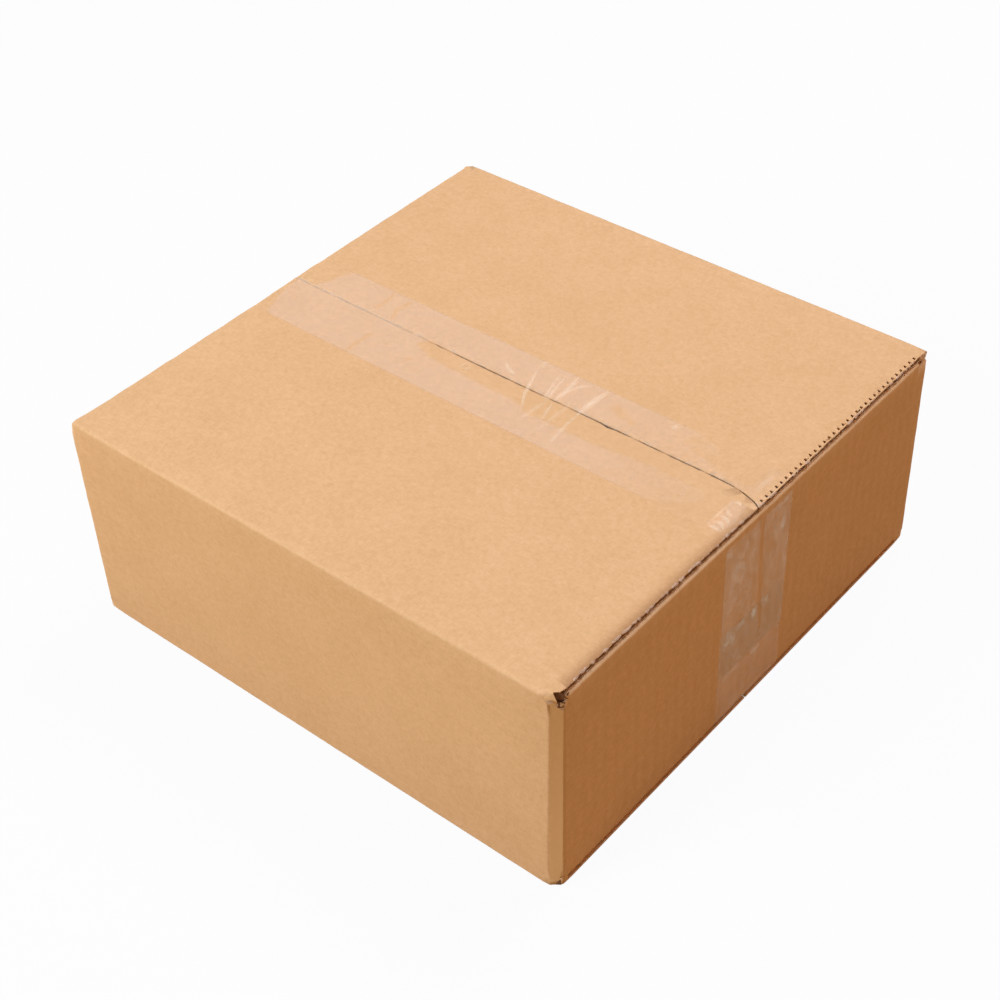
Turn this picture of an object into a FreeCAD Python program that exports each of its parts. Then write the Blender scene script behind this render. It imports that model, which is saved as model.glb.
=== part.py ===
import FreeCAD
import Part
import math
import os
from FreeCAD import Vector

# A closed and taped carton of single-wall corrugated board: one folded blank and two strips of tape.
# X runs along the seam, Y across it and Z up. All sizes are in millimetres.

# Carton over its folded flaps, without the tape
length = 250.0
width = 250.0
height = 104.0

# Corrugated board: two liners with a fluted medium between them
board = 3.0
liner = 0.4
medium = 0.35
flute_pitch = 6.4
flute_crest = 1.3
crushed_land = 3.0

# Folds: a flap turns sharply over its score. Two opposite corners were pressed flat in storage and
# stay sharp, and the other two were folded last and keep a narrow flat. A sharp corner is rounded
# only where it stands past the edges of the outer flaps
fold_inside = 0.3
fold_outside = 1.2
corner_leg = 4.4
corner_round = 2.0

# Flaps, and the slots that part them at the corners
outer_flap_inset = 1.0
inner_flap_play = 0.5
inner_flap_gap = 1.0
flap_clearance = 0.3
slot_below_fold = 1.7
slot_corner = 6.0

# Seam between the outer flaps: on top it lies off the middle and bends back to it at the +X end
seam_gap = 0.8
seam_offset = 5.0
seam_bend = 21.0

# Open end of the slot at the near flattened corner, measured along the flat from its middle and
# inward from the corner
hole_start = 0.4
hole_end = 4.2
hole_mouth = 4.3
hole_back = 7.0
hole_sink = 3.0
sunk_end = 3.0

# Notch at the bottom of the same corner, measured in the same way
notch_start = 0.9
notch_end = 3.2
notch_back = 5.5
notch_rise = 3.0

# Row of marks that the slotting knife punched beside one edge of the far top flap
punch_pitch = 3.4
punch_inset = 0.6
punch_depth = 1.2
punch_width = 1.7

# Glued joint where the two ends of the blank meet, at the -X +Y corner
tab_width = 32.0
tab_shoulder = 4.0
tab_taper = 8.0

# Clear tape along each seam, with a tail down or up both ends
tape = 0.15
tape_width = 45.0
top_tape_offset = 1.0
tail_rise = 52.0
tail_lap = 25.0
tail_step = 1.5
tail_clearance = 0.3

# How far a cutting solid reaches past what it cuts
past = 1.0

# Levels are counted from mid height until the parts are set down on Z = 0
half_length = length / 2
half_width = width / 2
crown = height / 2
fold = board + fold_inside
corner_outside = outer_flap_inset
slot_root = crown - fold - slot_below_fold
inner_crown = crown - board - flap_clearance
inner_fold_start = inner_crown - fold
inner_breadth = width - 4 * board - 2 * inner_flap_play
outer_breadth = length - 2 * outer_flap_inset
tail_level = tail_rise - tail_lap - crown


def outline(corners):
    """Closed wire through (x, y, radius) corners, each one rounded by a tangent arc."""
    points = [Vector(x, y, 0) for x, y, radius in corners]
    radii = [radius for x, y, radius in corners]
    edges = []
    last = None
    first = None
    for index, point in enumerate(points):
        back = (points[index - 1] - point).normalize()
        ahead = (points[(index + 1) % len(points)] - point).normalize()
        half_angle = back.getAngle(ahead) / 2
        start = end = point
        if radii[index] > 0:
            run = radii[index] / math.tan(half_angle)
            start = point + back * run
            end = point + ahead * run
            inward = (back + ahead).normalize()
            middle = point + inward * (radii[index] / math.sin(half_angle) - radii[index])
        if last is None:
            first = start
        else:
            edges.append(Part.LineSegment(last, start).toShape())
        if radii[index] > 0:
            edges.append(Part.Arc(start, middle, end).toShape())
        last = end
    edges.append(Part.LineSegment(last, first).toShape())
    return Part.Wire(edges)


def block(x_low, x_high, y_low, y_high, z_low, z_high):
    """Box between two corners."""
    return Part.makeBox(x_high - x_low, y_high - y_low, z_high - z_low, Vector(x_low, y_low, z_low))


def upright(face, z_low, z_high):
    """Solid over a flat outline drawn in the XY plane, between two levels."""
    return face.translated(Vector(0, 0, z_low)).extrude(Vector(0, 0, z_high - z_low))


def lengthwise(section, y_low, y_high):
    """Solid along Y whose XZ section is drawn with its height as y."""
    solid = upright(section, -y_high, -y_low)
    solid.rotate(Vector(), Vector(1, 0, 0), 90)
    return solid


def wall_tube():
    """Four walls folded from one strip, with the glue tab lapped inside the +Y wall."""
    leg = corner_leg
    inner_leg = corner_leg - board * (2 - math.sqrt(2))
    cut_edge = outer_flap_inset - half_length
    tab_end = board + tab_width - half_length
    x, y = half_length, half_width
    outside = outline([
        (-x, -y, corner_outside), (x - leg, -y, corner_round), (x, leg - y, corner_round),
        (x, y, corner_outside), (cut_edge, y, 0), (cut_edge, y - board, 0),
        (leg - x, y - board, 0), (-x, y - board - leg, corner_round)])
    x, y = half_length - board, half_width - board
    leg = inner_leg
    inside = outline([
        (-x, -y, fold_inside), (x - leg, -y, fold_inside), (x, leg - y, fold_inside),
        (x, y, fold_inside), (tab_end, y, 0), (tab_end, y - board, 0),
        (leg - x, y - board, fold_inside), (-x, y - board - leg, fold_inside)])
    tube = upright(Part.Face(outside).cut(Part.Face(inside)), -slot_root, slot_root)
    for side in (1, -1):
        tube = tube.cut(end_wall_opening(side)).cut(tab_end_cut(side, tab_end))
    return tube


def end_wall_opening(side):
    """Room above (side 1) or below (side -1) the end walls, where the inner flaps fold over."""
    levels = sorted((side * inner_fold_start, side * (crown + past)))
    reach_x = half_length + past
    return block(-reach_x, reach_x, -inner_breadth / 2, inner_breadth / 2, *levels)


def tab_end_cut(side, x_end):
    """Wedge that tapers one end of the glue tab, from its shoulder to its free edge."""
    x_start = corner_leg + tab_shoulder - half_length
    section = Part.Face(outline([
        (x_start, inner_fold_start, 0), (x_end, inner_fold_start - tab_taper, 0),
        (x_end + past, inner_fold_start - tab_taper, 0), (x_end + past, crown, 0), (x_start, crown, 0)]))
    wedge = lengthwise(section, half_width - 2 * board - past, half_width - board)
    return wedge if side > 0 else wedge.mirror(Vector(), Vector(0, 0, 1))


def folded_flap(wall, reach, top, root, breadth):
    """Flap turned over the fold of the +X wall, from the wall's upper end at root to its free edge."""
    free_edge = wall - reach
    section = Part.Face(outline([
        (wall, root, 0), (wall, top, fold_outside), (free_edge, top, 0), (free_edge, top - board, 0),
        (wall - board, top - board, fold_inside), (wall - board, root, 0)]))
    return lengthwise(section, -breadth / 2, breadth / 2)


def inner_flaps():
    """Two flaps of the end walls, which lie under the outer ones and meet at the middle."""
    reach = half_length - inner_flap_gap / 2
    flap = folded_flap(half_length, reach, inner_crown, inner_fold_start - board, inner_breadth)
    return [flap, flap.mirror(Vector(), Vector(1, 0, 0))]


def past_seam(shift):
    """What lies past the free edge of a flap hinged at -Y whose seam is shift away from the middle."""
    side = math.copysign(1, shift)
    radius = (seam_bend ** 2 + shift ** 2) / (2 * abs(shift))
    edge_radius = radius - side * seam_gap / 2
    sweep = math.asin(seam_bend / radius)
    centre = Vector(half_length - seam_bend, shift - side * radius, 0)
    start, middle, end = [
        centre + Vector(math.sin(angle), side * math.cos(angle), 0) * edge_radius
        for angle in (0, sweep / 2, sweep)]
    far = half_width
    first = Vector(-half_length - past, start.y, 0)
    rim = [Part.LineSegment(first, start).toShape(), Part.Arc(start, middle, end).toShape()]
    rim.append(Part.makePolygon([end, Vector(end.x, far, 0), Vector(first.x, far, 0), first]))
    return upright(Part.Face(Part.Wire(rim)), slot_root, crown + past)


def slot_corner_cut(leg):
    """Corner of the -Y wall that the slot at its flattened fold cuts away above its root."""
    corner = Part.Face(outline([
        (half_length - leg, -half_width, 0), (half_length, -half_width, 0),
        (half_length, leg - half_width, 0)]))
    return upright(corner, slot_root, crown + past)


def at_flat(solid):
    """Solid moved to the +X -Y corner, its X along the flat and its Y inward from the corner."""
    solid.rotate(Vector(), Vector(0, 0, 1), 45)
    solid.translate(Vector(half_length, -half_width, 0))
    return solid


def slot_hole():
    """Open end of the slot, running in under the flap's upper liner and down behind the wall's outer one."""
    flat = corner_leg / math.sqrt(2)
    under = crown - liner
    mouth = block(hole_start, hole_end, 0, hole_mouth, slot_root, crown + past)
    in_flap = block(hole_start, hole_end, 0, hole_back, slot_root, under)
    behind_wall = block(hole_start, sunk_end, flat + liner, hole_back, slot_root - hole_sink, under)
    return at_flat(mouth.fuse([in_flap, behind_wall]))


def slot_notch():
    """Three-cornered gap in the outer side of a folded flap at the same corner."""
    section = Part.Face(outline([
        (notch_start, crown, 0), (notch_start, crown + past, 0), (notch_end, crown + past, 0),
        (notch_end, crown - notch_rise, 0)]))
    return at_flat(lengthwise(section, 0, notch_back))


def flute_cell(x, pitch, upper):
    """One channel beside the medium, closed by the upper liner or by the lower one."""
    narrow = flute_crest / 2
    wide = pitch / 2 - narrow - medium / 2
    at_liner = crown - liner if upper else crown - board + liner
    at_medium = crown - board + liner + medium if upper else crown - liner - medium
    section = Part.Face(outline([
        (x - wide, at_liner, 0), (x + wide, at_liner, 0),
        (x + narrow, at_medium, 0), (x - narrow, at_medium, 0)]))
    return lengthwise(section, fold + crushed_land - half_width, half_width)


def flutes(upper_at_sides):
    """All channels of an outer flap; its side edges open an upper cell or a lower one."""
    count = round(outer_breadth / flute_pitch)
    pitch = outer_breadth / count
    first = 0 if upper_at_sides else 1
    cells = [
        flute_cell(step * pitch / 2 - outer_breadth / 2, pitch, (step + first) % 2 == 0)
        for step in range(2 * count + 1)]
    return Part.makeCompound(cells)


def punch_marks():
    """Small holes through the upper liner beside the +X edge of a flap hinged at -Y."""
    edge = outer_breadth / 2 - punch_inset
    flute_end = fold + crushed_land - half_width
    count = int((-seam_gap - flute_end) / punch_pitch)
    marks = []
    for step in range(1, count + 1):
        y = -seam_gap - step * punch_pitch
        mark = Part.Face(outline([
            (edge, y - punch_width / 2, 0), (edge, y + punch_width / 2, 0),
            (edge - punch_depth, y + punch_width / 4, 0), (edge - punch_depth, y - punch_width / 4, 0)]))
        marks.append(upright(mark, crown - 2 * liner, crown + past))
    return Part.makeCompound(marks)


def outer_flap(reach, flattened_end, leg):
    """Flap of the -Y wall before its flutes are opened, cut back at its flattened_end of X by the slot."""
    flap = folded_flap(half_width, reach, crown, slot_root, outer_breadth)
    flap.rotate(Vector(), Vector(0, 0, 1), -90)
    cut = slot_corner_cut(leg)
    return flap.cut(cut if flattened_end > 0 else cut.mirror(Vector(), Vector(1, 0, 0)))


def top_outer_flaps():
    """Near and far flap on top, parted by the bent seam."""
    long_reach = half_width + seam_offset + past
    near = outer_flap(long_reach, 1, corner_leg).cut(past_seam(seam_offset))
    far = outer_flap(long_reach, -1, slot_corner).cut(past_seam(-seam_offset))
    near = near.cut(flutes(False)).cut(slot_hole())
    far = far.cut(flutes(True)).cut(punch_marks())
    return [near, far.mirror(Vector(), Vector(0, 1, 0))]


def bottom_outer_flaps():
    """Two equal flaps below, parted by a straight seam along the middle."""
    reach = half_width - seam_gap / 2
    near = outer_flap(reach, 1, corner_leg).cut(flutes(False)).cut(slot_notch())
    far = outer_flap(reach, -1, slot_corner).cut(flutes(False)).mirror(Vector(), Vector(0, 1, 0))
    return [flap.mirror(Vector(), Vector(0, 0, 1)) for flap in (near, far)]


def carton():
    """The folded blank as one solid."""
    inner = inner_flaps()
    below = [flap.mirror(Vector(), Vector(0, 0, 1)) for flap in inner]
    flaps = inner + below + top_outer_flaps() + bottom_outer_flaps()
    return wall_tube().cut(slot_hole()).multiFuse(flaps).removeSplitter()


def lift_off_level():
    """Level where a taut tape leaves the end wall for the edge of the outer flap."""
    across = fold_outside - outer_flap_inset
    round_start = inner_crown - fold_outside
    rise = crown - round_start
    touch = math.atan2(rise, across) - math.acos(fold_outside / math.hypot(across, rise))
    return round_start + fold_outside * math.tan(touch / 2)


def strip(path, y_middle):
    """Tape laid along an XZ path with the path as its sticky face."""
    points = [Vector(x, z, 0) for x, z in path]
    normals = []
    for start, end in zip(points, points[1:]):
        run = (end - start).normalize()
        normals.append(Vector(run.y, -run.x, 0))
    outer = [points[0] + normals[0] * tape]
    for point, before, after in zip(points[1:], normals, normals[1:]):
        outer.append(point + (before + after) * (tape / (1 + before.dot(after))))
    outer.append(points[-1] + normals[-1] * tape)
    ring = points + outer[::-1] + points[:1]
    section = Part.Face(Part.makePolygon(ring))
    return lengthwise(section, y_middle - tape_width / 2, y_middle + tape_width / 2)


def mirrored(path):
    """The path with its own mirror image in X added after it."""
    return path + [(-x, z) for x, z in path[::-1]]


def top_tape():
    """Tape over the top seam, with both tails next to the end walls."""
    tail = [
        (half_length, tail_level), (half_length, lift_off_level()),
        (half_length - outer_flap_inset, crown)]
    return strip(mirrored(tail), top_tape_offset)


def bottom_tape():
    """Tape under the bottom seam, with its tails lapped over those of the top tape."""
    lapped = -half_length - tape
    step_top = tail_level - tail_clearance
    tail = [
        (lapped, tail_rise - crown), (lapped, step_top), (-half_length, step_top - tail_step),
        (-half_length, -lift_off_level()), (outer_flap_inset - half_length, -crown)]
    return strip(mirrored(tail), 0)


def main():
    """Write each part, set down so that the tape under the carton lies on Z = 0."""
    os.makedirs("parts", exist_ok=True)
    parts = {"carton": carton(), "top_tape": top_tape(), "bottom_tape": bottom_tape()}
    for name, shape in parts.items():
        shape.translate(Vector(0, 0, crown + tape))
        shape.exportStep(f"parts/{name}.step")


main()
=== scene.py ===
import math

import bmesh
import bpy
import numpy as np
from mathutils import Matrix, Vector


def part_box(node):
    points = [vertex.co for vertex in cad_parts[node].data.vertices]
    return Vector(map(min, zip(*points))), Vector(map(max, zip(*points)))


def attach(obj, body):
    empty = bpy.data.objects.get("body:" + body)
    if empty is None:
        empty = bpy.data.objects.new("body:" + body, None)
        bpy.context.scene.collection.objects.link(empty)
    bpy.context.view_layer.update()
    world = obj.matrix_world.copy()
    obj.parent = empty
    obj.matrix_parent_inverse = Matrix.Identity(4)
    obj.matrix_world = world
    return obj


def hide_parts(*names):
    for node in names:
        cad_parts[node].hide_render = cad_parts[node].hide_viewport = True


# Looks of a closed carton of corrugated board with clear tape along its seams.
# X runs along the seam, Y across it and Z up, and the near corner is at +X -Y.
# Shapes are worked out in millimetres and turned into metres when a mesh is made.

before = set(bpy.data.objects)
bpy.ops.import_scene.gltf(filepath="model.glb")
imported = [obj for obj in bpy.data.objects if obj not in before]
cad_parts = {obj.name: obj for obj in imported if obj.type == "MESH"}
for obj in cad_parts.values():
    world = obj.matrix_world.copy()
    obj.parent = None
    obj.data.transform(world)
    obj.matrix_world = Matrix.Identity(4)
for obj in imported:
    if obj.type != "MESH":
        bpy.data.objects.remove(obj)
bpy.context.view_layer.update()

MM = 0.001


def box_mm(node):
    """Lowest and highest corner of a CAD node in millimetres."""
    return [np.array(corner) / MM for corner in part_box(node)]


carton_low, carton_high = box_mm("carton")
top_tape_low, top_tape_high = box_mm("top_tape")
bottom_tape_low, bottom_tape_high = box_mm("bottom_tape")

# Carton
half_length = carton_high[0]
half_width = carton_high[1]
top = carton_high[2]
base = carton_low[2]
middle = (top + base) / 2
half_height = (top - base) / 2
board = 3.0
flap_inset = 1.0
corner_leg = 4.4
far_corner_leg = 6.0
flat_depth = corner_leg / math.sqrt(2)
inner_fold_top = top - 3.3
flute_pitch = 6.36

# Hole at the near corner: inward from the corner's tip, along its flat and below the top
hole_inward = (3.2, 7.6)
hole_along = (0.35, 4.3)
hole_depth = 8.1

# Grid that the carton's mesh is cut into
grid_step = 6.0
grid_snap = 0.01
weld_distance = 0.002
face_tolerance = 0.06

# How far handling has moved the board and its folds
top_sink = 0.28
side_wall_bow = 0.4
end_wall_bow = 0.3
fold_wander = 0.1
short_cut = 0.4
press_depth = 0.5

# Seam on top
seam_offset = 5.0
seam_bend = 21.0
sealed_until = -45.0
seam_reach = 2.8

# Tape: a thin film that hovers just over what carries it
film_gap = 0.02
film_thickness = 0.06
film_step = 0.75
crease_gap = 0.02
crease_height = 0.05
lap = top_tape_high[2] - top
lift_off = 4.36
lap_step = 1.5
saw_pitch = 1.9
saw_depth = 0.7

# Top tape seen from above: where it sticks and looks hazy, as (x, y)
far_patch = [
    (-113, 6), (-110, 11), (-108, 17), (-105, 25), (79, 25), (84, 22), (95, 18), (90, 12), (99, 9), (117, 7),
    (110, 4.4), (104, 5.2)]
near_patch = [
    (-122, 5), (-121, -6), (-115, -21), (-113, -24), (74, -24), (95, -19), (103, -12), (106, -7), (95, -5),
    (80, -4.5), (63, -6), (50, -8), (38, -7.5), (19, -8), (9, -5), (-11, -4.5), (-38, -3.5), (-48, 0.5),
    (-46, 5)]
end_patch = [(114, -2.5), (114, -19.5), (116, -20.5), (121.5, -20.5), (122, -12), (120.5, -2.5), (117, -1.5)]
far_end_patch = [(116, 4), (115, 22), (120.5, 22.5), (121, 4)]

# Bare streaks and spots in that haze, as (x, y) lines with their reach
bond_streaks = [
    ([(-68.5, -20), (-68.8, -14), (-68.2, -6)], 1.0),
    ([(-79.5, 10), (-79, 16), (-80, 22)], 1.0),
    ([(-69, 9), (-71, 14), (-70, 21)], 1.2),
    ([(-44, -11), (-43, -9)], 1.0),
    ([(46, 16), (50, 14)], 2.4),
    ([(54.5, 13), (56, 12)], 1.6),
    ([(82, 18), (85, 18)], 2.6),
    ([(86, 14), (89, 13)], 1.6)]

# Film creases on top, as (x, y) lines with their width and strength
film_creases = [
    ([(-10, 14.2), (-7, 11.2), (-3, 9.4), (0, 8.8)], 1.2, 0.7),
    ([(4, 17.2), (6, 12), (8.2, 6), (10.2, 1), (12.6, -3), (15.5, -7.5)], 0.9, 1.0),
    ([(3.2, 24), (4.6, 19.5)], 1.0, 0.5),
    ([(14.2, 20), (15.2, 14), (17, 8), (18.4, 3)], 0.7, 0.8),
    ([(16.4, 20.5), (17.6, 13), (19, 6), (19.6, 2)], 0.8, 0.8),
    ([(20.8, 23.2), (22.2, 16), (22.6, 10), (22, 4.5)], 1.7, 1.0),
    ([(28.5, 22), (25.5, 18.5), (23.4, 13)], 1.1, 0.8),
    ([(20.2, 3.5), (19.4, -4), (18.6, -12.5)], 1.4, 0.6),
    ([(22.8, 3.4), (24.8, -3.5), (26.2, -8.2)], 0.8, 0.8),
    ([(28.2, 10), (29, 0), (28.6, -15)], 0.9, 0.45),
    ([(36.4, 23.2), (35.8, 17), (35.4, 9), (35.8, 3)], 2.4, 1.0),
    ([(35.6, 6), (36, -3), (36.6, -10), (38.2, -20)], 1.0, 0.7),
    ([(-22.8, -1.5), (-22.4, 3)], 0.7, 0.5),
    ([(-19.6, -2), (-19.8, 2.5)], 0.7, 0.5),
    ([(71, 18.5), (71.3, 22.8)], 1.5, 0.8),
    ([(114.6, -3.4), (114.3, -11), (114.5, -19.4)], 0.7, 0.6),
    ([(115.2, -2.8), (117.4, -2.4), (118.6, -3.6)], 1.0, 1.0),
    ([(115, -7), (117.2, -9.5), (119.6, -10)], 1.0, 0.8),
    ([(115.4, -12.2), (118.4, -12.8), (121, -14.6)], 1.2, 0.9),
    ([(115.2, -16.8), (118, -15.8), (120.6, -18.2)], 1.3, 1.0),
    ([(114.8, -19.4), (117.5, -19.2), (120.4, -19.8)], 1.1, 1.0),
    ([(118.6, 6), (118.2, 13), (118.8, 20)], 1.2, 0.5)]

# End walls, as (y, z): glossy spots with reach and strength, the bare streak, and blisters in the tails
end_spots = [
    (-19.5, 95, 2.5, 2.2, 0.5), (-12, 82, 6.5, 7, 0.75), (-16, 70, 4, 9, 0.3), (17, 96, 6.5, 2, 0.6),
    (16.5, 84, 4.2, 6, 0.75), (22, 68, 2.2, 10, 0.6), (8, 91, 3, 6, 0.25), (-2, 90, 5, 5, 0.2)]
end_streak = [(2.8, 99), (3.4, 80), (4.2, 68), (5, 54), (6.4, 37)]
blister_patches = [
    [(-19.5, 51.4), (-10, 51.4), (-10.4, 46), (-12.5, 42), (-16.5, 42.6), (-19.5, 46)],
    [(-9.8, 51.2), (-5.6, 51.2), (-6.2, 45), (-9, 42.8)],
    [(-1.6, 51), (3.2, 50.4), (2.4, 45), (-0.2, 47.5)],
    [(6.2, 51.4), (11.6, 51.4), (9.8, 45.6), (7.6, 46.6)],
    [(-16.5, 28.6), (-9.4, 28), (-9, 25.6), (-15, 26.6)],
    [(-10, 27.4), (-7, 27), (-7.4, 23), (-9, 23.4)],
    [(0.2, 27.6), (7, 27), (6.2, 22.6), (1, 24)]]

# Seam: places past its sealed part where its edges touch again, with their reach, and a wider nick
seam_touches = [(-33, 3), (8.5, 1.6), (18.5, 3), (30, 4), (62.5, 3), (78, 2), (96, 1.6), (112.5, 1.6)]
seam_nick = 50.0

# Colours
board_brown = (0.76, 0.456, 0.236)
fleck_brown = (0.36, 0.2, 0.1, 1)
# Worn liner on folds and corners, also used as painted highlight on the inner flaps' fold crests and painted
# light on the bottom flaps' shaded cut edges
worn_and_highlight_brown = (0.98, 0.68, 0.42, 1)
# Painted light: the near corner's flat drawn lighter and warmer than the walls beside it
painted_light_flat_brown = (1.0, 0.67, 0.36, 1)
# Painted shade inside the board's flutes and in the near corner's hole
painted_shade_inside_brown = (0.42, 0.23, 0.12, 1)
# Cut edges: the dark colour is partly painted shade of the open flutes, the pale one torn fibres
cut_edge_shade_and_fibre_colours = (0.5, 0.27, 0.14, 1), (1.0, 0.8, 0.68, 1)
torn_paper_colours = (0.55, 0.36, 0.26, 1), (0.85, 0.64, 0.52, 1)
# Painted shade: near-black sheets in, below and beside the near corner's hole and in the notch at the
# corner's foot
painted_hole_shade_colours = (0.16, 0.07, 0.035, 1), (0.28, 0.14, 0.075, 1)
film_haze = (0.99, 0.85, 0.71, 1)
crease_white = (1, 0.86, 0.7, 1)
film_shine = (1, 0.94, 0.78, 1)
white = (1, 1, 1, 1)


def waves(along, seed, lengths):
    """Sum of sines of the given wavelengths between -1 and 1, the same each time for one seed."""
    phases = np.random.default_rng(seed).random(len(lengths))
    sines = [np.sin(2 * np.pi * (along / length + phase)) for length, phase in zip(lengths, phases)]
    return sum(sines) / len(lengths)


def rise(value, start, end):
    """Smooth step from 0 at start to 1 at end."""
    share = np.clip((value - start) / (end - start), 0, 1)
    return share * share * (3 - 2 * share)


def near(distance, reach):
    """Bell that is 1 at no distance and fades over reach."""
    return np.exp(-(distance / reach) ** 2)


def seam_line(x):
    """Y of the top seam, which bends back to the middle at the +X end."""
    radius = (seam_bend ** 2 + seam_offset ** 2) / (2 * seam_offset)
    run = np.clip(x - (half_length - seam_bend), 0, seam_bend)
    return seam_offset - radius + np.sqrt(radius ** 2 - run ** 2)


def near_top(z):
    """1 at the top of the carton and 0 from 8 mm below it."""
    return rise(z, top - 8, top - 2)


def in_top_flaps(z):
    """1 in the board of the outer top flaps and 0 below it."""
    return rise(z, top - board - 0.4, top - board + 0.2)


def handled(points):
    """Points in millimetres after the small bows, wavy folds and knocks of a handled carton."""
    x, y, z = points.T
    moves = settled_panels, wavy_folds, uneven_flap_edges, knocked_corners, seam_edges, slid_corners
    return points + sum(move(x, y, z) for move in moves)


def settled_panels(x, y, z):
    """How far the top has sunk and the walls have bowed in."""
    shift = np.zeros((len(x), 3))
    to_end, to_side = half_length - np.abs(x), half_width - np.abs(y)
    middle_x, middle_y = 1 - (x / half_length) ** 2, 1 - (y / half_width) ** 2
    middle_z = 1 - np.clip((z - middle) / half_height, -1, 1) ** 2
    sink = 0.18 + top_sink * middle_x * middle_y + 0.05 * waves(x + 2 * y, 3, (70, 110))
    shift[:, 2] = -sink * near_top(z) * rise(to_side, 0, 12) * rise(to_end, -1, 12)
    shift[:, 1] = -np.sign(y) * side_wall_bow * rise(-to_side, -8, -2) * middle_z * middle_x
    shift[:, 0] = -np.sign(x) * end_wall_bow * rise(-to_end, -8, -2) * middle_z * middle_y
    return shift


def wavy_folds(x, y, z):
    """How far the folds at the tops and bottoms of the walls wander."""
    shift = np.zeros((len(x), 3))
    for level, seed, down in ((top, 6, 0.8), (base, 4, -0.2)):
        crease = near(np.hypot(np.abs(y) - half_width, z - level), 3.5)
        wander = crease * (fold_wander + 0.1 * waves(x * np.sign(y), seed, (9, 17, 31, 58, flute_pitch)))
        shift[:, 1] -= np.sign(y) * wander
        shift[:, 2] -= down * wander
    crest = near(np.hypot(np.abs(x) - half_length, z - inner_fold_top + 1), 3)
    crest *= np.abs(y) < half_width - 5
    shift[:, 0] -= np.sign(x) * crest * (fold_wander + 0.1 * waves(y, 8, (7, 13, 29)))
    lower_fold = near(np.hypot(np.abs(x) - half_length, z - base - 3.6), 2.4)
    lower_fold *= z > base + board + 0.05
    shift[:, 0] += np.sign(x) * 0.4 * lower_fold * rise(half_length - np.abs(x), 0, 1)
    return shift


def uneven_flap_edges(x, y, z):
    """How far the cut edges of the outer flaps wander, are cut short and are pressed down."""
    shift = np.zeros((len(x), 3))
    side = np.sign(x)
    to_edge = half_length - flap_inset - np.abs(x)
    cut = near(to_edge, 1.6) * in_top_flaps(z)
    short = short_cut * rise(-y, -4, 12) * rise(half_width + y, 8, 20)
    shift[:, 0] -= side * cut * (short + 0.15 * waves(y, 12, (3.1, 5.3, 9.7, 21)))
    pressed = near(to_edge, 1.7) * rise(z, top - 3.1, top - 0.3) * rise(half_width - np.abs(y), 4, 9)
    shift[:, 2] -= pressed * (press_depth + 0.25 * waves(y + 40 * side, 13, (6.1, 11.3, 23)))
    under = near(to_edge, 0.6) * (to_edge > -0.1) * (z < base + board + 0.2)
    shift[:, 0] += side * 0.6 * under
    shift[:, 2] += 1.3 * under * rise(z, base + 1.5, base + 2.9)
    return shift


def knocked_corners(x, y, z):
    """How far the corners are worn along their height and crushed at their ends, the flattened ones most."""
    side_x, side_y = np.sign(x), np.sign(y)
    corner = near(half_length - np.abs(x), 4.5) * near(half_width - np.abs(y), 4.5)
    worn_x = corner * (0.1 + 0.1 * waves(z, 14, (13, 29, 47)))
    worn_y = corner * (0.1 + 0.1 * waves(z, 15, (15, 33, 52)))
    crush = corner * near(half_height - np.abs(z - middle), 4) * (0.25 + 0.35 * (side_x * side_y < 0))
    down = 0.3 * crush * (z > middle)
    return -np.stack([side_x * (worn_x + crush), side_y * (worn_y + crush), down], axis=1)


def seam_edges(x, y, z):
    """How far the edges along the top seam close up, wander or are nicked."""
    shift = np.zeros((len(x), 3))
    from_seam = y - seam_line(x)
    edge = near(from_seam, 2.2) * near_top(z) * np.sign(from_seam)
    closed = 0.4 * (1 - rise(x, sealed_until - 8, sealed_until + 12))
    closed += 0.24 * sum(near(x - place, reach) for place, reach in seam_touches)
    nick = 0.7 * near(x - seam_nick, 2.6) * (from_seam < 0)
    shift[:, 1] = edge * (nick - closed - 0.04 + 0.08 * waves(x, 21, (7, 12, 23)))
    return shift


def slid_corners(x, y, z):
    """How far the corner flats' ends lie from where they were drawn, as their creases are crooked."""
    shift = np.zeros((len(x), 3))
    upper = rise(z, top - 5.5, top - 3.5)
    crooked = np.clip((z - 12) / 80, 0, 1) * (1 - rise(z, top - 4.9, top - 3.5))
    for side_x, side_y, leg, by_y_wall, by_x_wall, share in (
            (1, -1, corner_leg, (1.2, 1.2), (0.1, 1.7), crooked),
            (-1, 1, far_corner_leg, (-2.6, 0), (0, 2.4), upper)):
        along_x, along_y = half_length - side_x * x, half_width - side_y * y
        end = np.clip((along_x - along_y) / (2 * leg) + 0.5, 0, 1)
        share = share * near(np.maximum(along_x - leg, 0) + np.maximum(along_y - leg, 0), 7)
        for axis in range(2):
            shift[:, axis] += share * (end * by_y_wall[axis] + (1 - end) * by_x_wall[axis])
    stretch = near(half_length - x, 5) * near(half_width - y, 7) * in_top_flaps(z)
    shift[:, 0] += 0.8 * stretch
    return shift


def new_piece(name, points, faces, material):
    """Mesh object from points in millimetres."""
    mesh = bpy.data.meshes.new(name)
    mesh.from_pydata((np.asarray(points) * MM).tolist(), [], faces)
    mesh.update()
    mesh.materials.append(material)
    mesh.shade_smooth()
    piece = bpy.data.objects.new(name, mesh)
    bpy.context.scene.collection.objects.link(piece)
    return piece


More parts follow.
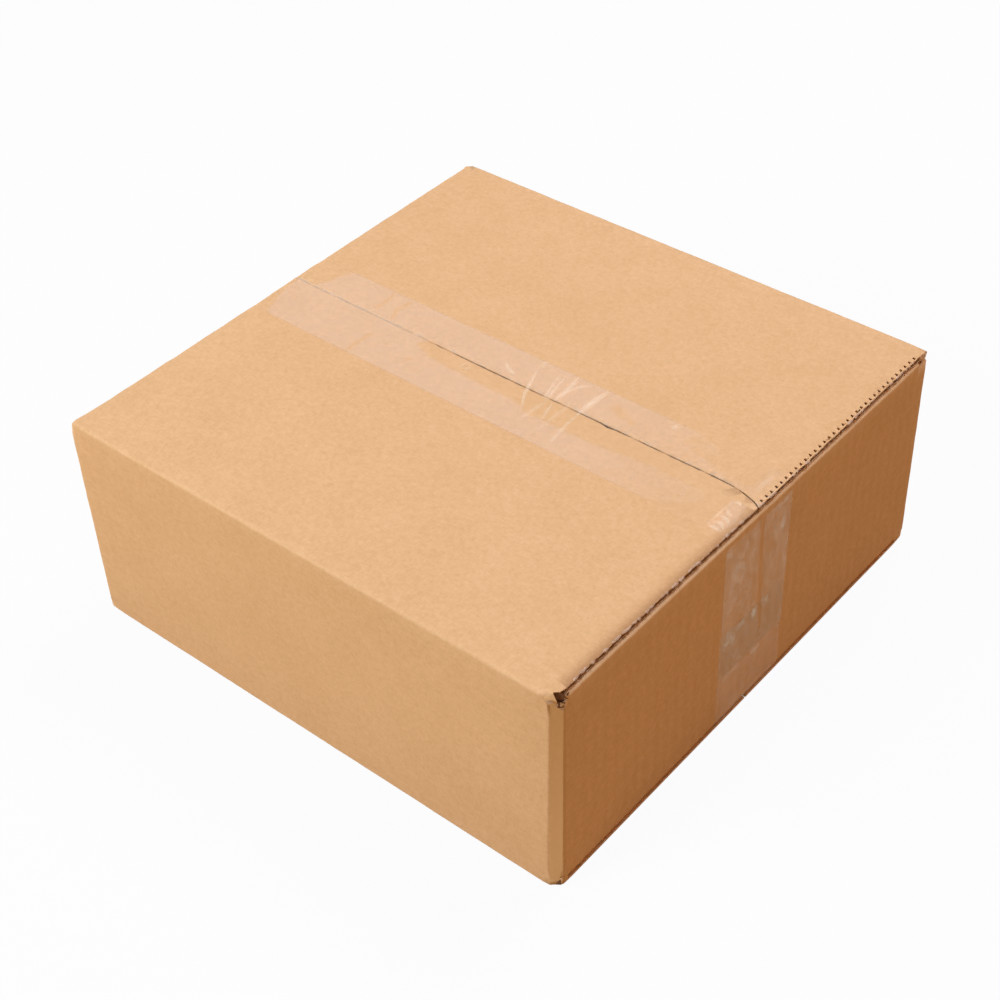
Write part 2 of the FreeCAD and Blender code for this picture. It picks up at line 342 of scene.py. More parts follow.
def gridded(node):
    """Copy of a CAD node's mesh cut into a grid, so that its flat faces can bow."""
    body = bmesh.new()
    body.from_mesh(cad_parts[node].data)
    bmesh.ops.remove_doubles(body, verts=body.verts, dist=weld_distance * MM)
    bmesh.ops.dissolve_limit(
        body, angle_limit=math.radians(0.5), verts=body.verts, edges=body.edges, delimit={"MATERIAL"})
    low, high = box_mm(node)
    for axis in range(3):
        normal = [float(axis == other) for other in range(3)]
        for level in np.arange(low[axis] + grid_step / 2, high[axis], grid_step):
            place = [level * MM * value for value in normal]
            parts = body.verts[:] + body.edges[:] + body.faces[:]
            bmesh.ops.bisect_plane(body, geom=parts, dist=grid_snap * MM, plane_co=place, plane_no=normal)
    bmesh.ops.triangulate(body, faces=body.faces)
    flap_base = top - board - 0.1
    flap_edge = half_length - flap_inset - 0.5
    split_edges(body, 0, lambda x, y, z: abs(y - seam_line(x)) < seam_reach and z > flap_base)
    split_edges(body, 1, lambda x, y, z: x > flap_edge and z > flap_base)
    bmesh.ops.triangulate(body, faces=body.faces)
    return body


def split_edges(body, axis, chosen):
    """Split the chosen edges that run far along one axis into four."""
    edges = []
    for edge in body.edges:
        first, second = [corner.co / MM for corner in edge.verts]
        if abs(first[axis] - second[axis]) > grid_step / 2 and chosen(*((first + second) / 2)):
            edges.append(edge)
    bmesh.ops.subdivide_edges(body, edges=edges, cuts=3)


def add(tree, kind, inputs, **settings):
    """New shader node; an input takes a value or another node's output."""
    made = tree.nodes.new(kind)
    for name, value in settings.items():
        setattr(made, name, value)
    for name, value in inputs.items():
        if isinstance(value, bpy.types.NodeSocket):
            tree.links.new(value, made.inputs[name])
        else:
            made.inputs[name].default_value = value
    return made


def math_node(tree, operation, first, second=0.0):
    """Output of a Math node."""
    return add(tree, "ShaderNodeMath", {0: first, 1: second}, operation=operation).outputs[0]


def scaled(tree, value, factor, offset=0.0):
    """Value times a factor plus an offset."""
    return math_node(tree, "ADD", math_node(tree, "MULTIPLY", value, factor), offset)


def value_at(tree, name):
    """Value stored in the mesh."""
    return add(tree, "ShaderNodeAttribute", {}, attribute_name=name).outputs["Fac"]


def noise(tree, place, scale, stretch=(1, 1, 1), detail=4.0, roughness=0.6):
    """Noise between 0 and 1; the scale is features per metre."""
    spread = add(tree, "ShaderNodeMapping", {"Vector": place, "Scale": stretch}).outputs[0]
    return add(tree, "ShaderNodeTexNoise", {
        "Vector": spread, "Scale": scale, "Detail": detail, "Roughness": roughness}).outputs["Fac"]


def ramp(tree, value, low, high):
    """Value mapped from low..high to 0..1 and held there."""
    return add(tree, "ShaderNodeMapRange", {0: value, 1: low, 2: high}, clamp=True).outputs[0]


def mix(tree, share, first, second, blend="MIX"):
    """Mixed colour."""
    return add(tree, "ShaderNodeMix", {0: share, 6: first, 7: second},
               data_type="RGBA", blend_type=blend).outputs[2]


def new_material(name):
    """Material with its node tree and shader."""
    material = bpy.data.materials.new(name)
    material.use_nodes = True
    return material, material.node_tree, material.node_tree.nodes["Principled BSDF"]


def board_colour(tree, place, fibre, tone):
    """Colour of kraft liner: clouded pulp, fibres, dark flecks, worn folds with painted highlights, a corner
    flat with painted light, cut edges with painted shade and torn fibres, and painted shade inside the board.
    """
    cloud = noise(tree, place, 45, detail=3)
    pulp = noise(tree, place, 330, detail=3, roughness=0.7)
    fleck = ramp(tree, noise(tree, place, 1500, (0.6, 1, 1), 2), 0.68, 0.75)
    light, dark = [
        tuple(channel * share for channel, share in zip(tone, shares)) + (1,)
        for shares in ((1.08, 1.11, 1.17), (0.93, 0.9, 0.85))]
    shade = math_node(tree, "ADD", scaled(tree, cloud, 0.35), scaled(tree, pulp, 0.65))
    colour = mix(tree, ramp(tree, shade, 0.2, 0.8), dark, light)
    grain = mix(tree, ramp(tree, fibre, 0.25, 0.75), (0.9, 0.86, 0.79, 1), (1.05, 1.07, 1.12, 1))
    colour = mix(tree, 1.0, colour, grain, "MULTIPLY")
    colour = mix(tree, scaled(tree, fleck, 0.35), colour, fleck_brown)
    # Wear, partly painted highlight on the folds and crests and painted light on the bottom flap edges
    colour = mix(tree, value_at(tree, "wear_and_highlight"), colour, worn_and_highlight_brown)
    # Painted light on the near corner's flat
    colour = mix(tree, scaled(tree, value_at(tree, "flat"), 0.6), colour, painted_light_flat_brown)
    # Painted shade on cut edges, mixed with torn fibres, and deeper painted shade inside the board and in the
    # near corner's hole
    cut = value_at(tree, "cut")
    torn = ramp(tree, noise(tree, place, 750, detail=3, roughness=0.7), 0.46, 0.56)
    colour = mix(tree, ramp(tree, cut, 0, 0.5), colour, mix(tree, torn, *cut_edge_shade_and_fibre_colours))
    return mix(tree, ramp(tree, cut, 0.5, 1), colour, painted_shade_inside_brown)


def board_height(tree, place, fibre):
    """Height of kraft liner: fibres, and flutes that show through it, more so on the end walls."""
    along = add(tree, "ShaderNodeSeparateXYZ", {0: place})
    facing = add(tree, "ShaderNodeSeparateXYZ", {0: add(tree, "ShaderNodeNewGeometry", {}).outputs["Normal"]})
    on_end = math_node(tree, "GREATER_THAN", math_node(tree, "ABSOLUTE", facing.outputs[0]), 0.7)
    run = add(tree, "ShaderNodeMix", {0: on_end, 2: along.outputs[0], 3: along.outputs[1]}).outputs[0]
    flute = math_node(tree, "SINE", scaled(tree, run, 2 * math.pi / (flute_pitch * MM)))
    flutes = math_node(tree, "MULTIPLY", flute, scaled(tree, on_end, 0.05, 0.025))
    return math_node(tree, "ADD", flutes, scaled(tree, fibre, 0.12))


def kraft(name, tone):
    """Brown corrugated board."""
    material, tree, shader = new_material(name)
    place = add(tree, "ShaderNodeTexCoord", {}).outputs["Object"]
    fibre_x = noise(tree, place, 1100, (0.35, 1, 1), 2)
    fibre_y = noise(tree, place, 1100, (1, 0.4, 0.5), 2)
    fibre = scaled(tree, math_node(tree, "ADD", fibre_x, fibre_y), 0.5)
    tree.links.new(board_colour(tree, place, fibre, tone), shader.inputs["Base Color"])
    height = board_height(tree, place, fibre)
    bump = add(tree, "ShaderNodeBump", {"Height": height, "Strength": 0.6, "Distance": 0.0006})
    tree.links.new(bump.outputs[0], shader.inputs["Normal"])
    shader.inputs["Roughness"].default_value = 0.82
    shader.inputs["Specular IOR Level"].default_value = 0.25
    return material


def clear_film(name, cover, gloss, colour):
    """Shader of a see-through film from how much of it is hazy and how much of it is glossy."""
    material, tree, shader = new_material(name)
    place = add(tree, "ShaderNodeTexCoord", {}).outputs["Object"]
    ripple = noise(tree, place, 260, (1, 0.5, 1), 3)
    bump = add(tree, "ShaderNodeBump", {"Height": ripple, "Strength": 0.4, "Distance": 0.0005}).outputs[0]
    through = add(tree, "ShaderNodeBsdfTransparent", {}).outputs[0]
    haze = add(tree, "ShaderNodeBsdfDiffuse", {"Color": colour, "Normal": bump}).outputs[0]
    shine = add(tree, "ShaderNodeBsdfGlossy", {
        "Color": film_shine, "Roughness": 0.3, "Normal": bump}).outputs[0]
    hazy = add(tree, "ShaderNodeMixShader", {0: cover(tree, place), 1: through, 2: haze}).outputs[0]
    glossy = add(tree, "ShaderNodeMixShader", {0: gloss(tree, place), 1: hazy, 2: shine}).outputs[0]
    tree.links.new(glossy, tree.nodes["Material Output"].inputs["Surface"])
    tree.nodes.remove(shader)
    return material


def film_look():
    """Clear tape: thin haze where it sticks, bare board colour where it doesn't."""
    def cover(tree, place):
        """How hazy the film is."""
        cloud = ramp(tree, noise(tree, place, 160, detail=5), 0.25, 0.75)
        bond = math_node(tree, "MULTIPLY", value_at(tree, "bond"), scaled(tree, cloud, 0.06, 0.125))
        return math_node(tree, "ADD", bond, scaled(tree, value_at(tree, "haze"), 0.5))

    def gloss(tree, place):
        """How glossy the film is."""
        cloud = ramp(tree, noise(tree, place, 380, (1, 0.8, 0.6), 5, 0.75), 0.38, 0.66)
        shine = math_node(tree, "MULTIPLY", value_at(tree, "gloss"), scaled(tree, cloud, 0.07, 0.014))
        return math_node(tree, "ADD", shine, 0.003)

    return clear_film("clear_tape", cover, gloss, film_haze)


def set_values(mesh, name, values, domain="POINT"):
    """Value at each point or face of a mesh for its material."""
    mesh.attributes.new(name, "FLOAT", domain).data.foreach_set("value", np.asarray(values, np.float32))


def cut_and_shaded_faces(mesh):
    """Share of cut board of each face, which carries painted shade: 0.5 on edges, 0.8 in the near corner's
    hole and 1 inside, far less in the lower half; and if it is on the near corner's flat, which gets painted
    light.
    """
    centres = np.array([face.center for face in mesh.polygons]) / MM
    normals = np.array([face.normal for face in mesh.polygons])
    x, y = np.abs(centres[:, 0]), np.abs(centres[:, 1])
    depth = half_height - np.abs(centres[:, 2] - middle)
    inside = (depth > 0.35) & (depth < board - 0.35) & (y < half_width - board - 0.1)
    shaded_cut_edge = (np.abs(x - half_length + flap_inset) < face_tolerance) & (depth < board + 0.05)
    shaded_cut_edge &= np.abs(normals[:, 0]) > 0.9
    inward = (half_length - centres[:, 0] + half_width + centres[:, 1]) / math.sqrt(2)
    along = (centres[:, 0] - half_length + half_width + centres[:, 1]) / math.sqrt(2)
    # Faces in the near corner's hole, which get painted shade
    painted_shade_hole = (inward > hole_inward[0]) & (inward < hole_inward[1]) & (depth > 0.02)
    painted_shade_hole &= (along > hole_along[0]) & (along < hole_along[1]) & (centres[:, 2] > top - hole_depth)
    painted_shade_hole &= (x < half_length - face_tolerance) & (y < half_width - face_tolerance)
    # Painted shade on cut edges and inside the board, much weaker in the lower half
    share = np.where(inside & ~shaded_cut_edge, 1.0, 0.5 * shaded_cut_edge) * np.where(centres[:, 2] > middle, 1, 0.1)
    # The near corner's flat, which gets painted light
    painted_light_flat = (normals[:, 0] > 0.6) & (normals[:, 1] < -0.6)
    painted_light_flat &= np.abs(inward * math.sqrt(2) - corner_leg) < 0.2
    return np.where(painted_shade_hole, 0.8, share), painted_light_flat


def make_carton(material):
    """Carton with its folded board in the CAD's form."""
    body = gridded("carton")
    mesh = bpy.data.meshes.new("board_carton")
    body.to_mesh(mesh)
    body.free()
    points = np.array([vertex.co for vertex in mesh.vertices]) / MM
    x, y, z = np.abs(points[:, 0]), np.abs(points[:, 1]), np.abs(points[:, 2] - middle)
    fold = near(np.hypot(y - half_width, z - half_height), 1.2)
    corner = near(x - half_length, 1.5) * near(y - half_width, 1.5)
    crest = near(np.hypot(x - half_length, points[:, 2] - inner_fold_top), 1.3)
    # Top folds lighter with wear and painted highlight, corners with wear, inner flaps' fold crests with
    # painted highlight
    wear_and_highlight = 0.2 * fold * (0.6 + 0.4 * waves(points[:, 0], 31, (11, 19, 43))) + 0.1 * corner + 0.8 * crest
    # Painted light on the shaded cut edges of the bottom flaps at the end walls
    wear_and_highlight += 0.5 * (x > half_length - flap_inset - 0.1) * (points[:, 2] < base + board + 0.1)
    cut, flat = cut_and_shaded_faces(mesh)
    mesh.vertices.foreach_set("co", (handled(points) * MM).ravel())
    mesh.update()
    set_values(mesh, "wear_and_highlight", np.clip(wear_and_highlight, 0, 1))
    # Cut board with its painted shade, and the flat that gets painted light
    set_values(mesh, "cut", cut, "FACE")
    set_values(mesh, "flat", flat, "FACE")
    mesh.materials.clear()
    mesh.materials.append(material)
    mesh.shade_smooth()
    mesh.set_sharp_from_angle(angle=math.radians(32))
    piece = bpy.data.objects.new("board_carton", mesh)
    bpy.context.scene.collection.objects.link(piece)
    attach(piece, "root")
    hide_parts("carton")
    return piece


def taut_profile(corners, step):
    """Rows (x, z, normal x, normal z) along an XZ path, with the normal turning on the spot at corners."""
    rows = []
    turn = None
    for (x0, z0), (x1, z1) in zip(corners, corners[1:]):
        run = np.array([x1 - x0, z1 - z0])
        size = np.hypot(*run)
        normal = np.array([run[1], -run[0]]) / size
        if turn is not None:
            for share in (0.25, 0.5, 0.75):
                blend = turn * (1 - share) + normal * share
                rows.append((x0, z0, *(blend / np.hypot(*blend))))
        for share in np.linspace(0, 1, max(2, round(size / step) + 1)):
            rows.append((x0 + run[0] * share, z0 + run[1] * share, *normal))
        turn = normal
    return np.array(rows)


def make_film(name, node, corners, y_range, bond_of, material):
    """Tape along a path: a thin skin on both its faces, sawn off at its ends."""
    rows = taut_profile(corners, film_step)
    columns = np.linspace(*y_range, round((y_range[1] - y_range[0]) / film_step) + 1)
    x, z, nx, nz = [np.repeat(rows[:, index:index + 1], len(columns), axis=1) for index in range(4)]
    y = np.repeat(columns[None, :], len(rows), axis=0)
    run = np.concatenate([[0], np.cumsum(np.hypot(*np.diff(rows[:, :2], axis=0).T))])[:, None]
    teeth = saw_depth * np.abs((y / saw_pitch) % 1 - 0.5) * 2
    last = 1 - rise(np.minimum(run, run.max() - run), 0, 4)
    z = z + np.sign(z[len(z) // 2, 0] - z) * teeth * last * (np.abs(nx) > 0.9)
    bond, haze, gloss, lift = bond_of(x, y, z)
    skins = []
    for height in (film_gap, film_gap + film_thickness):
        up = height + lift
        skins.append(np.stack([x + nx * up, y, z + nz * up], axis=-1).reshape(-1, 3))
    count, width = x.size, len(columns)
    index = np.arange(count).reshape(x.shape)
    quads = np.stack([index[:-1, :-1], index[:-1, 1:], index[1:, 1:], index[1:, :-1]], axis=-1).reshape(-1, 4)
    rim = np.concatenate([index[0, :], index[1:, -1], index[-1, -2::-1], index[-2:0:-1, 0]])
    after = np.roll(rim, -1)
    sides = np.stack([rim, rim + count, after + count, after], axis=-1)
    faces = np.concatenate([quads[:, ::-1], quads + count, sides])
    piece = new_piece(name, handled(np.concatenate(skins)), faces.tolist(), material)
    set_values(piece.data, "bond", np.tile(bond.ravel(), 2))
    set_values(piece.data, "haze", np.tile(haze.ravel(), 2))
    set_values(piece.data, "gloss", np.tile(gloss.ravel(), 2))
    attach(piece, "root")
    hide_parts(node)
    return piece


def off_line(x, y, corners):
    """Distance to a run of straight lines."""
    nearest = np.full(x.shape, np.inf)
    for (x0, y0), (x1, y1) in zip(corners, corners[1:]):
        run_x, run_y = x1 - x0, y1 - y0
        share = np.clip(((x - x0) * run_x + (y - y0) * run_y) / (run_x ** 2 + run_y ** 2), 0, 1)
        nearest = np.minimum(nearest, np.hypot(x - x0 - share * run_x, y - y0 - share * run_y))
    return nearest


def patch(x, y, corners, soft):
    """1 inside a polygon and 0 outside it, over a soft edge that wanders a little."""
    x = x + 0.5 * waves(y, 51, (5, 9, 17))
    y = y + 0.5 * waves(x, 52, (6, 11, 23))
    ring = corners + corners[:1]
    inside = np.zeros(x.shape, bool)
    for (x0, y0), (x1, y1) in zip(ring, ring[1:]):
        if y0 != y1:
            inside ^= ((y0 > y) != (y1 > y)) & (x < x0 + (y - y0) / (y1 - y0) * (x1 - x0))
    return rise(np.where(inside, 1, -1) * off_line(x, y, ring), -soft, soft)


def clouds(x, y, seed):
    """Soft blotches between 0 and 1."""
    blotch = waves(x + 0.6 * y, seed, (17, 29, 61)) * waves(y - 0.4 * x, seed + 1, (9, 15, 27))
    fine = waves(x - 0.7 * y, seed + 2, (3.7, 5.9, 8.3)) * waves(y + 0.5 * x, seed + 3, (3.1, 4.9, 7.3))
    return np.clip(0.5 + 0.9 * blotch + 0.9 * fine, 0, 1)


def edge_haze(y, y_range):
    """Light line along both cut edges of a tape."""
    return near(np.minimum(y - y_range[0], y_range[1] - y), 0.5)


def lies_on_top(x, y):
    """Bond, haze, gloss and lift of the top tape over the flaps."""
    bond = patch(x, y, far_patch, 1.6) + patch(x, y, near_patch, 1.6)
    for line, reach in bond_streaks:
        bond *= 1 - 0.85 * near(off_line(x, y, line), reach)
    faded = rise(x, 30, 105)
    bond *= (0.85 + 0.15 * clouds(x, y, 65)) * (1 - faded * (0.3 + 0.6 * clouds(x, y, 61)))
    haze = 0.3 * patch(x, y, end_patch, 0.8) * (0.4 + 0.6 * clouds(1.7 * x, 1.7 * y, 71))
    haze += 0.1 * patch(x, y, far_end_patch, 1.2)
    sealed = 1 - rise(x, sealed_until - 22, sealed_until + 4)
    ridge = near(y - seam_line(x) - 0.25, 0.75) * (0.75 + 0.25 * waves(x, 64, (4, 9, 15)))
    past_seam = near(y - seam_line(x) - 0.9, 0.7) * rise(waves(x, 63, (5, 11, 17)), -0.1, 0.5)
    return bond, haze + 0.5 * ridge * sealed + 0.25 * past_seam, 0 * x, 0.12 * ridge * sealed


def lies_on_end(y, z):
    """The same for the top tape's tail."""
    gloss = 0.45 + 0.3 * clouds(y, 0.7 * z, 81)
    for spot_y, spot_z, reach_y, reach_z, strength in end_spots:
        gloss += strength * np.exp(-((y - spot_y) / reach_y) ** 2 - ((z - spot_z) / reach_z) ** 2)
    bare = near(off_line(y, z, end_streak), 1.5)
    share = (1 - bare) * (1 - rise(z, 95.5, 99)) * (1 - 0.6 * rise(-z, -52.5, -51.5))
    return 0.8 * share, 0 * y, 1.1 * gloss * share, 0 * y


def top_bond(x, y, z):
    """Where the top tape sticks, is hazy, shines or stands off its board."""
    flat = (z > top - 0.01)[None]
    over = np.array(lies_on_top(x, y))
    down = np.array(lies_on_end(y * np.sign(x), z))
    bond, haze, gloss, lift = np.where(flat, over, down)
    return bond, haze + 0.06 * edge_haze(y, (top_tape_low[1], top_tape_high[1])), gloss, lift


def base_bond(x, y, z):
    """The same for the bottom tape, whose tails lap over those of the top tape."""
    along = y * np.sign(x)
    tail = z > base + 1
    lapped = tail * rise(z, 25, 28)
    blisters = sum(patch(along, z, corners, 0.8) for corners in blister_patches)
    blisters = blisters * (0.3 + 0.7 * clouds(0.6 * along, z, 93)) * (0.5 + 0.5 * rise(z, 30, 40))
    rim = near(off_line(along, z, [(23.2, 35), (23.4, 30), (22.8, 26)]), 0.7)
    bare = 0.7 * near(off_line(along, z, end_streak), 1.3) * tail
    gloss = tail * ((0.3 + 0.3 * clouds(along, 0.8 * z, 91)) * (1 - bare) + 1.3 * blisters + 0.6 * rim)
    bond = np.where(tail, 0.42 - 0.05 * lapped, 0.3 + 0.3 * clouds(x, y, 95)) * (1 - bare)
    return bond, 0.06 * edge_haze(y, (bottom_tape_low[1], bottom_tape_high[1])), gloss, 0 * x


def make_tapes(material):
    """Both tapes, each laid from one tail to the other."""
    edge = half_length - flap_inset
    tail = [(half_length, top_tape_low[2]), (half_length, top - lift_off), (edge, top)]
    over = tail + [(-x, z) for x, z in tail[::-1]]
    step = top_tape_low[2]
    tail = [(half_length + lap, bottom_tape_high[2]), (half_length + lap, step),
            (half_length, step - lap_step), (half_length, base + lift_off), (edge, base)]
    under = [(-x, z) for x, z in tail] + tail[::-1]
    make_film("tape_over_top", "top_tape", over, (top_tape_low[1], top_tape_high[1]), top_bond, material)
    make_film("tape_under_base", "bottom_tape", under,
              (bottom_tape_low[1], bottom_tape_high[1]), base_bond, material)


def smooth_line(corners, step):
    """Evenly spaced points on a curve through the corners."""
    points = [np.array(corner, float) for corner in corners]
    points = [2 * points[0] - points[1]] + points + [2 * points[-1] - points[-2]]
    line = []
    for before, start, end, after in zip(points, points[1:], points[2:], points[3:]):
        count = max(2, round(np.hypot(*(end - start)) / step))
        for share in np.arange(count) / count:
            bend = (2 * before - 5 * start + 4 * end - after) * share ** 2
            bend += (3 * start - 3 * end + after - before) * share ** 3
            line.append(start + ((end - before) * share + bend) / 2)
    return np.array(line + [points[-2]])


def make_creases(material):
    """Fine white creases in the top tape, as low ridges on its film that fade out to their sides."""
    points, faces, shown = [], [], []
    for corners, width, strength in film_creases:
        line = smooth_line(corners, 0.4)
        along = np.gradient(line, axis=0)
        across = np.stack([-along[:, 1], along[:, 0]], axis=1) / np.hypot(*along.T)[:, None]
        taper = np.sqrt(np.sin(np.pi * np.linspace(0.02, 0.98, len(line))))
        first = sum(len(row) for row in points)
        for side, share in ((-1, 0), (-0.5, 0.6), (0, 1), (0.5, 0.6), (1, 0)):
            level = top + film_gap + film_thickness + crease_gap + crease_height * share * taper
            reach = side * (0.5 + 0.7 * width) * taper
            points.append(np.column_stack([line + across * reach[:, None], level]))
            shown.append(share * strength * taper)
        for row in range(4):
            for step in range(len(line) - 1):
                corner = first + row * len(line) + step
                faces.append((corner, corner + 1, corner + len(line) + 1, corner + len(line)))
    piece = new_piece("tape_creases", handled(np.concatenate(points)), faces, material)
    set_values(piece.data, "shown", np.concatenate(shown))
    piece.visible_shadow = False
    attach(piece, "root")


def crease_look():
    """Whitened film."""
    def cover(tree, place):
        """How hazy the film is."""
        uneven = ramp(tree, noise(tree, place, 400, detail=2), 0.2, 0.8)
        return math_node(tree, "MULTIPLY", value_at(tree, "shown"), scaled(tree, uneven, 0.25, 0.15))

    def gloss(tree, place):
        """How glossy the film is."""
        return scaled(tree, value_at(tree, "shown"), 0.02)

    return clear_film("creased_tape", cover, gloss, crease_white)


def flake(ridge, width, across, blunt=0.15):
    """Points and faces of a strip along the ridge that narrows towards its ends."""
    share = np.sin(np.pi * np.linspace(blunt, 1 - blunt, len(ridge)))
    points = []
    for point, half in zip(np.array(ridge), share * width / 2):
        points += [point - across * half, point + across * half]
    return points, [(2 * step, 2 * step + 1, 2 * step + 3, 2 * step + 2) for step in range(len(ridge) - 1)]


def add_shapes(name, shapes, material):
    """One piece from several sets of points and faces, moved as the carton's surface is."""
    points, faces = [], []
    for shape_points, shape_faces in shapes:
        faces += [tuple(corner + len(points) for corner in face) for face in shape_faces]
        points += list(shape_points)
    piece = new_piece(name, np.clip(handled(np.array(points)), carton_low, carton_high), faces, material)
    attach(piece, "root")


def edge_flakes(random):
    """Torn paper along the cut edges of the top flaps at the +X end."""
    edge = half_length - flap_inset
    torn = []
    for y_low, y_high, count in ((-112, 4, 60), (6, 118, 30)):
        for y in random.uniform(y_low, y_high, count):
            size, reach = random.uniform(0.8, 2.8), random.uniform(0.3, 0.9)
            ridge = [
                (edge - 0.4, y, top + 0.03), (edge + 0.03, y, top - 0.02),
                (edge + 0.4 * reach, y + 0.2 * size, top - 0.6 * reach),
                (edge + 0.45 * reach, y, top - 1.2 * reach)]
            torn.append(flake(ridge, size, np.array([0, 1, 0])))
    return torn


def at_corner(along, inward, depth):
    """Point at the near corner: along its flat, inward from its tip and below the top."""
    along, inward = along / math.sqrt(2), inward / math.sqrt(2)
    return np.array([half_length + along - inward, along + inward - half_width, top - depth])


def corner_flake(places, width):
    """Flake at the near corner through places given as for at_corner."""
    return flake([at_corner(*place) for place in places], width, np.array([1, 1, 0]) / math.sqrt(2))


def corner_flakes(random):
    """Torn paper around the hole in the near corner, and a curl of it on the flat."""
    torn = []
    for along, inward, depth, size, width in (
            (1.6, 3.0, 7.0, 2.4, 0.9), (0.2, 3.06, 6.4, 1.6, 1.0), (3.4, 3.05, 7.6, 1.6, 1.2),
            (4.2, 4.1, 6.4, 3.2, 0.8), (4.6, 5.4, 4.4, 1.6, 0.7), (2.2, 3.05, 8.8, 1.0, 1.6)):
        lean = random.uniform(-0.4, 0.4)
        places = [
            (along + lean * share, inward - 0.2 * share, depth - size * share)
            for share in (0, 0.4, 0.7, 1)]
        torn.append(corner_flake(places, width))
    curl = [
        (-1.6 + 0.8 * share, flat_depth - 0.1 - 0.1 * share, 2.6 + 1.6 * share)
        for share in (0, 0.4, 1)]
    return torn + [corner_flake(curl, 2.2)]


def make_flakes(board_look, paper_look, painted_hole_shade_look):
    """Torn paper at the cut edges and the near corner, near-black painted shade in, below and beside the near
    corner's hole and in the notch at the corner's foot, and board that mends that notch below it.
    """
    random = np.random.default_rng(7)
    add_shapes("torn_paper", edge_flakes(random) + corner_flakes(random), paper_look)

    foot = top - base
    # Painted shade: near-black sheets behind, below and beside the hole, and a triangle in the notch at the
    # corner's foot
    behind_hole = [(2.2, inward, depth) for inward, depth in ((4.5, 8.2), (4.2, 5.5), (4.4, 3), (5.4, 1))]
    under_hole = [(1.7, flat_depth - 0.03, depth) for depth in (7.6, 7.0, 6.2, 5.2, 4.2)]
    beside_hole = [(5.6 + 0.6 * share, 5.6 + 0.5 * share, 3.5 - 1.4 * share) for share in (0, 0.5, 1)]
    notch = [
        at_corner(along, flat_depth - 0.04, depth)
        for along, depth in ((-0.9, foot), (1.45, foot), (1.3, foot - 2.6))]
    add_shapes("painted_hole_shade", [
        corner_flake(behind_hole, 5.6), corner_flake(under_hole, 3.4), corner_flake(beside_hole, 1.2),
        (notch, [(0, 1, 2)])], painted_hole_shade_look)

    mend = [
        at_corner(along, flat_depth + 0.02, depth)
        for along, depth in (
            (0.8, foot - 4.5), (3.15, foot - 4.5), (3.15, foot - 0.6), (2.5, foot), (1.2, foot))]
    beside = [
        np.array([half_length - 0.03, y - half_width, z])
        for y, z in ((4.3, base + 5), (6.6, base + 5), (6.6, base + 0.8), (4.3, base + 0.7))]
    add_shapes("board_corner", [(mend, [(0, 1, 2, 3, 4)]), (beside, [(0, 1, 2, 3)])], board_look)


def torn_and_shade_look(name, dark, light):
    """Paper between two colours: torn paper, and the near-black painted shade in the near corner's hole."""
    material, tree, shader = new_material(name)
    place = add(tree, "ShaderNodeTexCoord", {}).outputs["Object"]
    fibre = ramp(tree, noise(tree, place, 1400, (1, 0.5, 0.5), 3), 0.3, 0.7)
    tree.links.new(mix(tree, fibre, dark, light), shader.inputs["Base Color"])
    shader.inputs["Roughness"].default_value = 0.9
    shader.inputs["Specular IOR Level"].default_value = 0.2
    return material


def area_lamp(name, place, target, size, strength, colour):
    """Soft lamp; at strength 1 a surface that faces it renders at its own colour."""
    data = bpy.data.lights.new(name, "AREA")
    data.shape = "DISK"
    data.size = size
    data.color = colour
    lamp = bpy.data.objects.new(name, data)
    away = Vector(place) - Vector(target)
    data.energy = strength * math.pi ** 2 * away.length ** 2
    lamp.location = place
    lamp.rotation_euler = away.to_track_quat("Z", "Y").to_euler()
    bpy.context.scene.collection.objects.link(lamp)


def seen_directly(tree):
    """1 for camera, glossy and transmission rays."""
    path = add(tree, "ShaderNodeLightPath", {})
    camera = path.outputs["Is Camera Ray"]
    other = math_node(tree, "MAXIMUM", path.outputs["Is Glossy Ray"], path.outputs["Is Transmission Ray"])
    return math_node(tree, "MAXIMUM", camera, other)


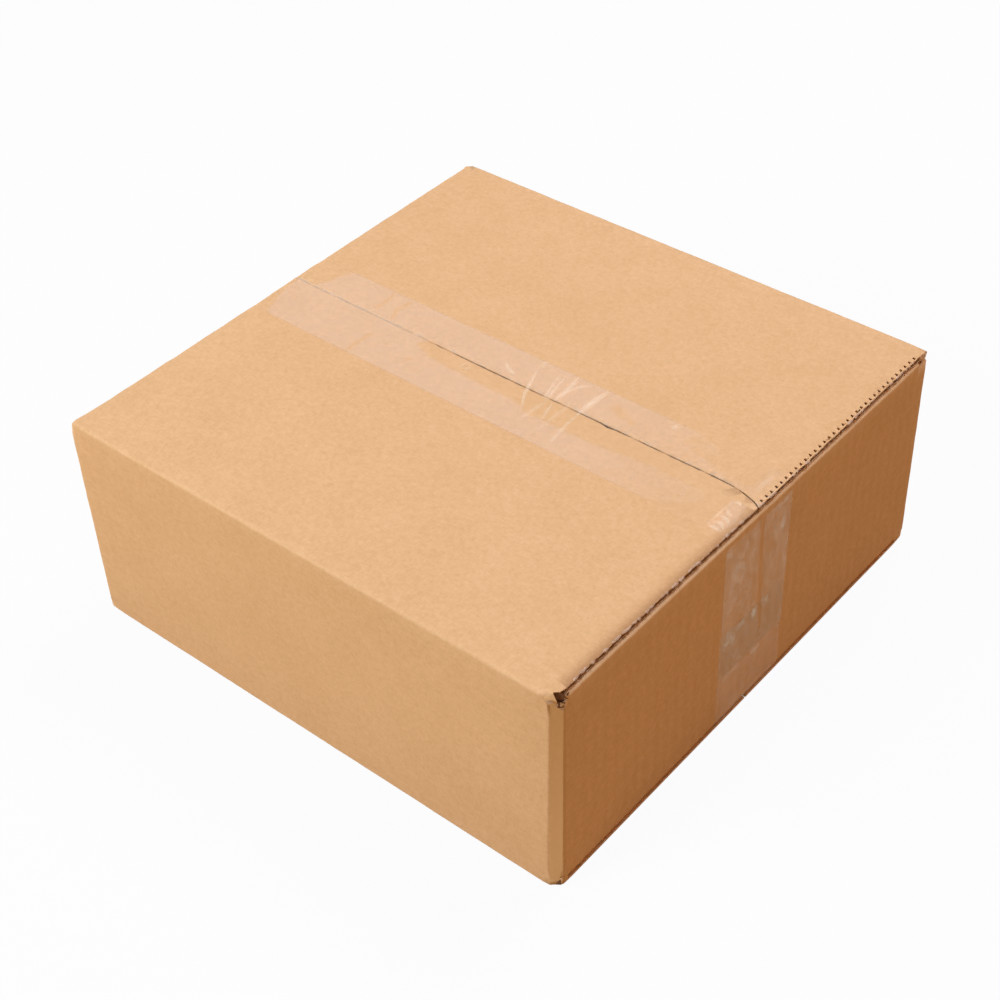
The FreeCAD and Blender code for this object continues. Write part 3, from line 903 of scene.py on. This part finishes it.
def make_surroundings():
    """White floor and background with soft light from the left."""
    world = bpy.data.worlds.new("studio")
    bpy.context.scene.world = world
    world.use_nodes = True
    tree = world.node_tree
    shown = seen_directly(tree)
    background = tree.nodes["Background"]
    tree.links.new(mix(tree, shown, (1.0, 0.9, 0.72, 1), white), background.inputs["Color"])
    tree.links.new(scaled(tree, shown, 0.9, 0.1), background.inputs["Strength"])

    material, tree, shader = new_material("floor")
    shader.inputs["Base Color"].default_value = (0.47, 0.33, 0.17, 1)
    shader.inputs["Roughness"].default_value = 0.9
    shader.inputs["Specular IOR Level"].default_value = 0.0
    glow = add(tree, "ShaderNodeEmission", {"Color": (0.99, 1, 1.02, 1), "Strength": 1.055}).outputs[0]
    share = scaled(tree, seen_directly(tree), 0.9)
    both = add(tree, "ShaderNodeMixShader", {0: share, 1: shader.outputs[0], 2: glow}).outputs[0]
    tree.links.new(both, tree.nodes["Material Output"].inputs["Surface"])
    reach = 4000
    corners = [(-reach, -reach, 0), (reach, -reach, 0), (reach, reach, 0), (-reach, reach, 0)]
    new_piece("floor", corners, [(0, 1, 2, 3)], material)

    target = (0, 0, 0.05)
    area_lamp("key", (-0.6, -1.4, 1.02), target, 0.9, 0.8, (0.96, 1.0, 1.0))
    area_lamp("overhead", (0.08, 0.9, 1.65), target, 0.9, 0.69, (0.92, 0.95, 1.03))
    area_lamp("warm_fill", (1.6, 0.2, 0.5), target, 0.8, 0.15, (1.0, 0.42, 0.06))


def make_camera():
    """Camera at the photo's viewing angle."""
    azimuth, elevation, roll = [math.radians(angle) for angle in (41.285, 40.939, -2.533)]
    distance = 0.7882
    target = Vector((0.0048, -0.0104, 0.0523))
    right = Vector((math.cos(azimuth), math.sin(azimuth), 0))
    back = Vector((math.sin(azimuth) * math.cos(elevation), -math.cos(azimuth) * math.cos(elevation),
                   math.sin(elevation)))
    axes = Matrix((right, back.cross(right), back)).transposed() @ Matrix.Rotation(roll, 3, "Z")
    data = bpy.data.cameras.new("camera")
    data.sensor_width = 36
    data.lens = 67.16
    data.shift_x, data.shift_y = -0.0006, -0.0008
    data.clip_start = 0.01
    camera = bpy.data.objects.new("camera", data)
    camera.matrix_world = Matrix.Translation(target + back * distance) @ axes.to_4x4()
    bpy.context.scene.collection.objects.link(camera)
    bpy.context.scene.camera = camera


def main():
    """Build the scene."""
    bpy.context.scene.view_settings.view_transform = "Standard"
    make_camera()
    make_surroundings()
    board_look = kraft("kraft_board", board_brown)
    make_carton(board_look)
    make_tapes(film_look())
    make_creases(crease_look())
    paper_look = torn_and_shade_look("torn_paper", *torn_paper_colours)
    # Near-black painted shade in and below the near corner's hole
    make_flakes(board_look, paper_look, torn_and_shade_look("painted_hole_shade", *painted_hole_shade_colours))


main()
